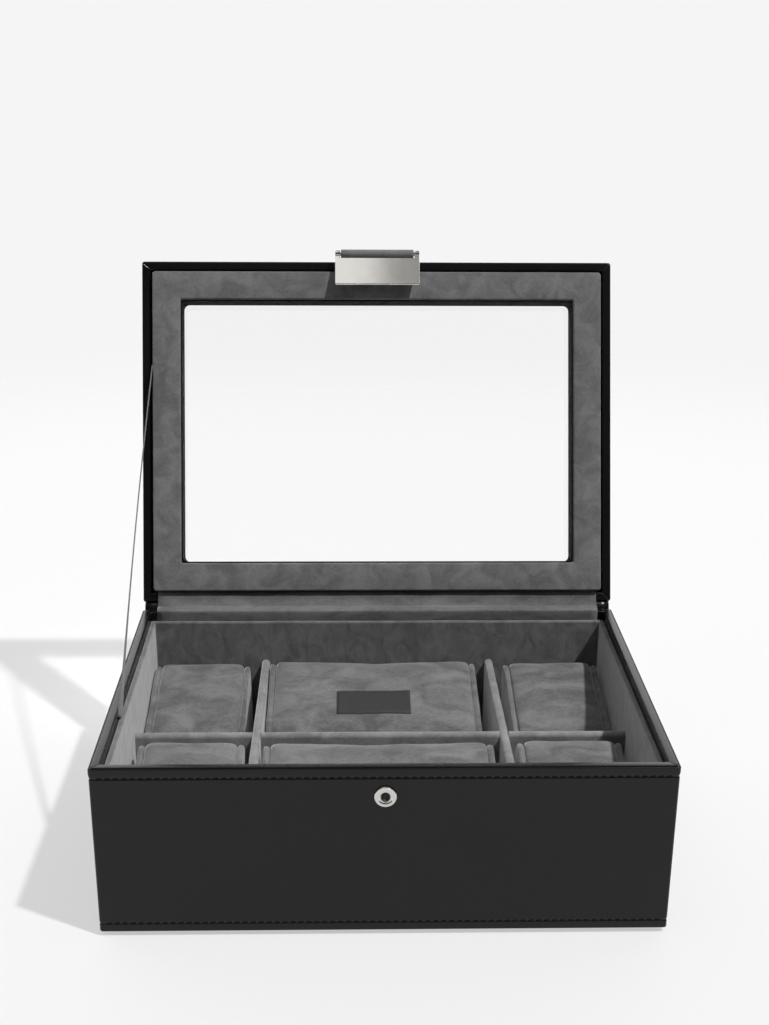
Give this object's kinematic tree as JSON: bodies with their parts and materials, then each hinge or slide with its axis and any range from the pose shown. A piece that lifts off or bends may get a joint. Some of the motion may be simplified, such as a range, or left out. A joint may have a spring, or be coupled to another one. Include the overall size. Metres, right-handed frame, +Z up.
{
  "type": "watch box",
  "caption": "Hinged watch box in black leatherette with grey suede lining, divided compartments, lift-out pillows, a windowed lid, a stay ribbon and a snap latch.",
  "frame": {"origin": "centre of the underside of the foot felt, on the surface the box stands on", "axes": "+X to the right seen from the latch side, +Y to the hinge side, +Z up"},
  "size_m": [0.25, 0.265, 0.2617],
  "materials": {
    "leatherette_black": "smooth coated leatherette, low sheen",
    "suede_grey": "short brushed nap",
    "fibreboard": "raw board",
    "foam": "open-cell foam",
    "felt_black": "pressed felt",
    "clear_pane": "clear polished",
    "ribbon_grey": "woven ribbon",
    "label_black": "woven patch",
    "spring_steel": "drawn wire",
    "polished_steel": "nickel plated, polished"
  },
  "bodies": {
    "case": {"foot_felt": "felt_black", "case_floor": "fibreboard", "lining_floor": "suede_grey", "case_wrap_front": "leatherette_black", "case_wrap_right": "leatherette_black", "case_wrap_back": "leatherette_black", "case_wrap_left": "leatherette_black", "case_board_front": "fibreboard", "case_board_right": "fibreboard", "case_board_back": "fibreboard", "case_board_left": "fibreboard", "lining_front": "suede_grey", "lining_right": "suede_grey", "lining_back": "suede_grey", "lining_left": "suede_grey", "divider_left": "suede_grey", "divider_right": "suede_grey", "divider_cross": "suede_grey", "snap_socket": "polished_steel", "snap_spring": "spring_steel", "snap_rivet": "polished_steel", "hinge_web": "leatherette_black", "hinge_gusset": "suede_grey", "stay_ribbon": "ribbon_grey"},
    "lid": {"lid_wrap_front": "leatherette_black", "lid_wrap_right": "leatherette_black", "lid_wrap_back": "leatherette_black", "lid_wrap_left": "leatherette_black", "lid_board_front": "fibreboard", "lid_board_right": "fibreboard", "lid_board_back": "fibreboard", "lid_board_left": "fibreboard", "lid_frame_front": "fibreboard", "lid_frame_right": "fibreboard", "lid_frame_back": "fibreboard", "lid_frame_left": "fibreboard", "lid_pad_front": "suede_grey", "lid_pad_right": "suede_grey", "lid_pad_back": "suede_grey", "lid_pad_left": "suede_grey", "window_lip": "leatherette_black", "window_pane": "clear_pane", "latch_strap": "leatherette_black", "latch_sleeve": "leatherette_black"},
    "latch_bar": {"latch_bar": "polished_steel"},
    "latch_plate": {"latch_plate": "polished_steel", "latch_stud": "polished_steel"},
    "pillow_rear_left": {"pillow_cover_rear_left": "suede_grey", "pillow_core_rear_left": "foam"},
    "pillow_rear_middle": {"pillow_cover_rear_middle": "suede_grey", "pillow_core_rear_middle": "foam", "blank_label": "label_black"},
    "pillow_rear_right": {"pillow_cover_rear_right": "suede_grey", "pillow_core_rear_right": "foam"},
    "pillow_front_left": {"pillow_cover_front_left": "suede_grey", "pillow_core_front_left": "foam"},
    "pillow_front_middle": {"pillow_cover_front_middle": "suede_grey", "pillow_core_front_middle": "foam"},
    "pillow_front_right": {"pillow_cover_front_right": "suede_grey", "pillow_core_front_right": "foam"}
  },
  "joints": [
    {"name": "lid_hinge", "type": "hinge", "parent": "case", "child": "lid", "pos_m": [0, 0.0924, 0.084], "axis": [1, 0, 0], "range_deg": [0, 111.2], "deforming": ["hinge_web", "hinge_gusset", "stay_ribbon"]},
    {"name": "latch_hang", "type": "hinge", "parent": "lid", "child": "latch_bar", "pos_m": [0, 0.15507, 0.25941], "axis": [1, 0, 0], "range_deg": [-76, 0]},
    {"name": "latch_press", "type": "hinge", "parent": "latch_bar", "child": "latch_plate", "pos_m": [0, 0.15507, 0.25941], "axis": [1, 0, 0], "range_deg": [0, 8]},
    {"name": "lift_rear_left", "type": "slide", "parent": "case", "child": "pillow_rear_left", "axis": [0, 0, -1], "range_m": [-0.08, 0]},
    {"name": "lift_rear_middle", "type": "slide", "parent": "case", "child": "pillow_rear_middle", "axis": [0, 0, -1], "range_m": [-0.08, 0]},
    {"name": "lift_rear_right", "type": "slide", "parent": "case", "child": "pillow_rear_right", "axis": [0, 0, -1], "range_m": [-0.08, 0]},
    {"name": "lift_front_left", "type": "slide", "parent": "case", "child": "pillow_front_left", "axis": [0, 0, -1], "range_m": [-0.08, 0]},
    {"name": "lift_front_middle", "type": "slide", "parent": "case", "child": "pillow_front_middle", "axis": [0, 0, -1], "range_m": [-0.08, 0]},
    {"name": "lift_front_right", "type": "slide", "parent": "case", "child": "pillow_front_right", "axis": [0, 0, -1], "range_m": [-0.08, 0]}
  ],
  "couplings": [
    {"joint": "latch_hang", "follows": "lid_hinge", "ratio": -0.68338}
  ]
}
